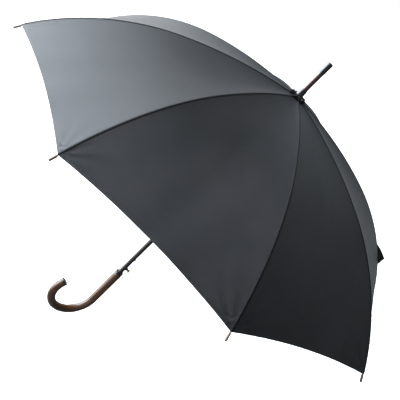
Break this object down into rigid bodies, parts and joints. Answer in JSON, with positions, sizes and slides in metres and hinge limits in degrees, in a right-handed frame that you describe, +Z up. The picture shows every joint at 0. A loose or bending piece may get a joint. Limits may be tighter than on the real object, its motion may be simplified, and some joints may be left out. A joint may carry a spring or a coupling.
{
  "type": "stick umbrella",
  "caption": "Open stick umbrella: domed cloth canopy on folding ribs, sliding runner, latch button, ferrule and wooden crook handle.",
  "frame": {"origin": "on the shaft's axis, half way down the straight part of the grip", "axes": "+Z up the shaft towards the ferrule, +X towards the hook of the crook"},
  "size_m": [0.948, 0.948, 0.8355],
  "materials": {
    "cloth": "black satin weave polyester",
    "shaft_metal": "dark brown lacquered steel",
    "ferrule_metal": "brown anodised, glossy",
    "black_plastic": "moulded black plastic",
    "notch_plastic": "moulded nylon",
    "rib_steel": "black zinc plated channel",
    "rib_rod": "black glass fibre rod",
    "tip_wood": "varnished brown",
    "handle_wood": "brown lacquered, streaky grain",
    "brass": "polished",
    "spring_steel": "drawn wire"
  },
  "bodies": {
    "root": {"shaft_tube": "shaft_metal", "ferrule": "ferrule_metal", "ferrule_tip": "black_plastic", "canopy_cap": "black_plastic", "top_notch": "notch_plastic", "main_spring": "spring_steel", "latch_spring": "spring_steel", "crook_handle": "handle_wood", "handle_collar": "black_plastic", "crook_end_cap": "black_plastic"},
    "runner": {"runner": "notch_plastic"},
    "push_button": {"push_button": "brass"},
    "rib_inner_1": {"rib_inner_1": "rib_steel", "canopy_inner_1": "cloth"},
    "rib_outer_1": {"rib_outer_1": "rib_rod", "rib_tip_1": "tip_wood", "canopy_outer_1": "cloth"},
    "stretcher_1": {"stretcher_1": "rib_steel"},
    "rib_inner_2": {"rib_inner_2": "rib_steel", "canopy_inner_2": "cloth"},
    "rib_outer_2": {"rib_outer_2": "rib_rod", "rib_tip_2": "tip_wood", "canopy_outer_2": "cloth"},
    "stretcher_2": {"stretcher_2": "rib_steel"},
    "rib_inner_3": {"rib_inner_3": "rib_steel", "canopy_inner_3": "cloth"},
    "rib_outer_3": {"rib_outer_3": "rib_rod", "rib_tip_3": "tip_wood", "canopy_outer_3": "cloth"},
    "stretcher_3": {"stretcher_3": "rib_steel"},
    "rib_inner_4": {"rib_inner_4": "rib_steel", "canopy_inner_4": "cloth"},
    "rib_outer_4": {"rib_outer_4": "rib_rod", "rib_tip_4": "tip_wood", "canopy_outer_4": "cloth"},
    "stretcher_4": {"stretcher_4": "rib_steel"},
    "rib_inner_5": {"rib_inner_5": "rib_steel", "canopy_inner_5": "cloth"},
    "rib_outer_5": {"rib_outer_5": "rib_rod", "rib_tip_5": "tip_wood", "canopy_outer_5": "cloth"},
    "stretcher_5": {"stretcher_5": "rib_steel"},
    "rib_inner_6": {"rib_inner_6": "rib_steel", "canopy_inner_6": "cloth"},
    "rib_outer_6": {"rib_outer_6": "rib_rod", "rib_tip_6": "tip_wood", "canopy_outer_6": "cloth"},
    "stretcher_6": {"stretcher_6": "rib_steel"},
    "rib_inner_7": {"rib_inner_7": "rib_steel", "canopy_inner_7": "cloth"},
    "rib_outer_7": {"rib_outer_7": "rib_rod", "rib_tip_7": "tip_wood", "canopy_outer_7": "cloth"},
    "stretcher_7": {"stretcher_7": "rib_steel"},
    "rib_inner_8": {"rib_inner_8": "rib_steel", "canopy_inner_8": "cloth"},
    "rib_outer_8": {"rib_outer_8": "rib_rod", "rib_tip_8": "tip_wood", "canopy_outer_8": "cloth"},
    "stretcher_8": {"stretcher_8": "rib_steel"}
  },
  "joints": [
    {"name": "rib_fold_1", "type": "hinge", "parent": "root", "child": "rib_inner_1", "pos_m": [0.01016, 0.00421, 0.62616], "axis": [-0.3827, 0.9239, 0], "range_deg": [0, 75.5], "stiffness_Nm_per_rad": 4, "springref_deg": -34.38, "deforming": ["main_spring", "canopy_inner_1", "canopy_outer_1", "canopy_inner_2", "canopy_outer_2", "canopy_inner_3", "canopy_outer_3", "canopy_inner_4", "canopy_outer_4", "canopy_inner_5", "canopy_outer_5", "canopy_inner_6", "canopy_outer_6", "canopy_inner_7", "canopy_outer_7", "canopy_inner_8", "canopy_outer_8"]},
    {"name": "rib_fold_2", "type": "hinge", "parent": "root", "child": "rib_inner_2", "pos_m": [0.00421, 0.01016, 0.62616], "axis": [-0.9239, 0.3827, 0], "range_deg": [0, 75.5]},
    {"name": "rib_fold_3", "type": "hinge", "parent": "root", "child": "rib_inner_3", "pos_m": [-0.00421, 0.01016, 0.62616], "axis": [-0.9239, -0.3827, 0], "range_deg": [0, 75.5]},
    {"name": "rib_fold_4", "type": "hinge", "parent": "root", "child": "rib_inner_4", "pos_m": [-0.01016, 0.00421, 0.62616], "axis": [-0.3827, -0.9239, 0], "range_deg": [0, 75.5]},
    {"name": "rib_fold_5", "type": "hinge", "parent": "root", "child": "rib_inner_5", "pos_m": [-0.01016, -0.00421, 0.62616], "axis": [0.3827, -0.9239, 0], "range_deg": [0, 75.5]},
    {"name": "rib_fold_6", "type": "hinge", "parent": "root", "child": "rib_inner_6", "pos_m": [-0.00421, -0.01016, 0.62616], "axis": [0.9239, -0.3827, 0], "range_deg": [0, 75.5]},
    {"name": "rib_fold_7", "type": "hinge", "parent": "root", "child": "rib_inner_7", "pos_m": [0.00421, -0.01016, 0.62616], "axis": [0.9239, 0.3827, 0], "range_deg": [0, 75.5]},
    {"name": "rib_fold_8", "type": "hinge", "parent": "root", "child": "rib_inner_8", "pos_m": [0.01016, -0.00421, 0.62616], "axis": [0.3827, 0.9239, 0], "range_deg": [0, 75.5]},
    {"name": "rib_flex_1", "type": "hinge", "parent": "rib_inner_1", "child": "rib_outer_1", "pos_m": [0.23296, 0.0965, 0.57125], "axis": [-0.3827, 0.9239, 0], "range_deg": [-25, 0]},
    {"name": "rib_flex_2", "type": "hinge", "parent": "rib_inner_2", "child": "rib_outer_2", "pos_m": [0.0965, 0.23296, 0.57125], "axis": [-0.9239, 0.3827, 0], "range_deg": [-25, 0]},
    {"name": "rib_flex_3", "type": "hinge", "parent": "rib_inner_3", "child": "rib_outer_3", "pos_m": [-0.0965, 0.23296, 0.57125], "axis": [-0.9239, -0.3827, 0], "range_deg": [-25, 0]},
    {"name": "rib_flex_4", "type": "hinge", "parent": "rib_inner_4", "child": "rib_outer_4", "pos_m": [-0.23296, 0.0965, 0.57125], "axis": [-0.3827, -0.9239, 0], "range_deg": [-25, 0]},
    {"name": "rib_flex_5", "type": "hinge", "parent": "rib_inner_5", "child": "rib_outer_5", "pos_m": [-0.23296, -0.0965, 0.57125], "axis": [0.3827, -0.9239, 0], "range_deg": [-25, 0]},
    {"name": "rib_flex_6", "type": "hinge", "parent": "rib_inner_6", "child": "rib_outer_6", "pos_m": [-0.0965, -0.23296, 0.57125], "axis": [0.9239, -0.3827, 0], "range_deg": [-25, 0]},
    {"name": "rib_flex_7", "type": "hinge", "parent": "rib_inner_7", "child": "rib_outer_7", "pos_m": [0.0965, -0.23296, 0.57125], "axis": [0.9239, 0.3827, 0], "range_deg": [-25, 0]},
    {"name": "rib_flex_8", "type": "hinge", "parent": "rib_inner_8", "child": "rib_outer_8", "pos_m": [0.23296, -0.0965, 0.57125], "axis": [0.3827, 0.9239, 0], "range_deg": [-25, 0]},
    {"name": "stretcher_fold_1", "type": "hinge", "parent": "rib_inner_1", "child": "stretcher_1", "pos_m": [0.22429, 0.0929, 0.57462], "axis": [-0.3827, 0.9239, 0], "range_deg": [-153.5, 0]},
    {"name": "stretcher_fold_2", "type": "hinge", "parent": "rib_inner_2", "child": "stretcher_2", "pos_m": [0.0929, 0.22429, 0.57462], "axis": [-0.9239, 0.3827, 0], "range_deg": [-153.5, 0]},
    {"name": "stretcher_fold_3", "type": "hinge", "parent": "rib_inner_3", "child": "stretcher_3", "pos_m": [-0.0929, 0.22429, 0.57462], "axis": [-0.9239, -0.3827, 0], "range_deg": [-153.5, 0]},
    {"name": "stretcher_fold_4", "type": "hinge", "parent": "rib_inner_4", "child": "stretcher_4", "pos_m": [-0.22429, 0.0929, 0.57462], "axis": [-0.3827, -0.9239, 0], "range_deg": [-153.5, 0]},
    {"name": "stretcher_fold_5", "type": "hinge", "parent": "rib_inner_5", "child": "stretcher_5", "pos_m": [-0.22429, -0.0929, 0.57462], "axis": [0.3827, -0.9239, 0], "range_deg": [-153.5, 0]},
    {"name": "stretcher_fold_6", "type": "hinge", "parent": "rib_inner_6", "child": "stretcher_6", "pos_m": [-0.0929, -0.22429, 0.57462], "axis": [0.9239, -0.3827, 0], "range_deg": [-153.5, 0]},
    {"name": "stretcher_fold_7", "type": "hinge", "parent": "rib_inner_7", "child": "stretcher_7", "pos_m": [0.0929, -0.22429, 0.57462], "axis": [0.9239, 0.3827, 0], "range_deg": [-153.5, 0]},
    {"name": "stretcher_fold_8", "type": "hinge", "parent": "rib_inner_8", "child": "stretcher_8", "pos_m": [0.22429, -0.0929, 0.57462], "axis": [0.3827, 0.9239, 0], "range_deg": [-153.5, 0]},
    {"name": "runner_pivot", "type": "hinge", "parent": "stretcher_1", "child": "runner", "pos_m": [0.01016, 0.00421, 0.52307], "axis": [-0.3827, 0.9239, 0], "range_deg": [0, 77]},
    {"name": "button_press", "type": "slide", "parent": "root", "child": "push_button", "axis": [0.7071, -0.7071, 0], "range_m": [0, 0.003], "stiffness_N_per_m": 600, "springref_m": -0.003, "deforming": ["latch_spring"]}
  ],
  "couplings": [
    {"joint": "rib_fold_2", "follows": "rib_fold_1", "ratio": 1},
    {"joint": "rib_fold_3", "follows": "rib_fold_1", "ratio": 1},
    {"joint": "rib_fold_4", "follows": "rib_fold_1", "ratio": 1},
    {"joint": "rib_fold_5", "follows": "rib_fold_1", "ratio": 1},
    {"joint": "rib_fold_6", "follows": "rib_fold_1", "ratio": 1},
    {"joint": "rib_fold_7", "follows": "rib_fold_1", "ratio": 1},
    {"joint": "rib_fold_8", "follows": "rib_fold_1", "ratio": 1},
    {"joint": "rib_flex_1", "follows": "rib_fold_1", "ratio": -0.32026},
    {"joint": "rib_flex_2", "follows": "rib_fold_1", "ratio": -0.32026},
    {"joint": "rib_flex_3", "follows": "rib_fold_1", "ratio": -0.32026},
    {"joint": "rib_flex_4", "follows": "rib_fold_1", "ratio": -0.32026},
    {"joint": "rib_flex_5", "follows": "rib_fold_1", "ratio": -0.32026},
    {"joint": "rib_flex_6", "follows": "rib_fold_1", "ratio": -0.32026},
    {"joint": "rib_flex_7", "follows": "rib_fold_1", "ratio": -0.32026},
    {"joint": "rib_flex_8", "follows": "rib_fold_1", "ratio": -0.32026},
    {"joint": "stretcher_fold_1", "follows": "rib_fold_1", "ratio": -2},
    {"joint": "stretcher_fold_2", "follows": "rib_fold_1", "ratio": -2},
    {"joint": "stretcher_fold_3", "follows": "rib_fold_1", "ratio": -2},
    {"joint": "stretcher_fold_4", "follows": "rib_fold_1", "ratio": -2},
    {"joint": "stretcher_fold_5", "follows": "rib_fold_1", "ratio": -2},
    {"joint": "stretcher_fold_6", "follows": "rib_fold_1", "ratio": -2},
    {"joint": "stretcher_fold_7", "follows": "rib_fold_1", "ratio": -2},
    {"joint": "stretcher_fold_8", "follows": "rib_fold_1", "ratio": -2},
    {"joint": "runner_pivot", "follows": "rib_fold_1", "ratio": 1}
  ]
}
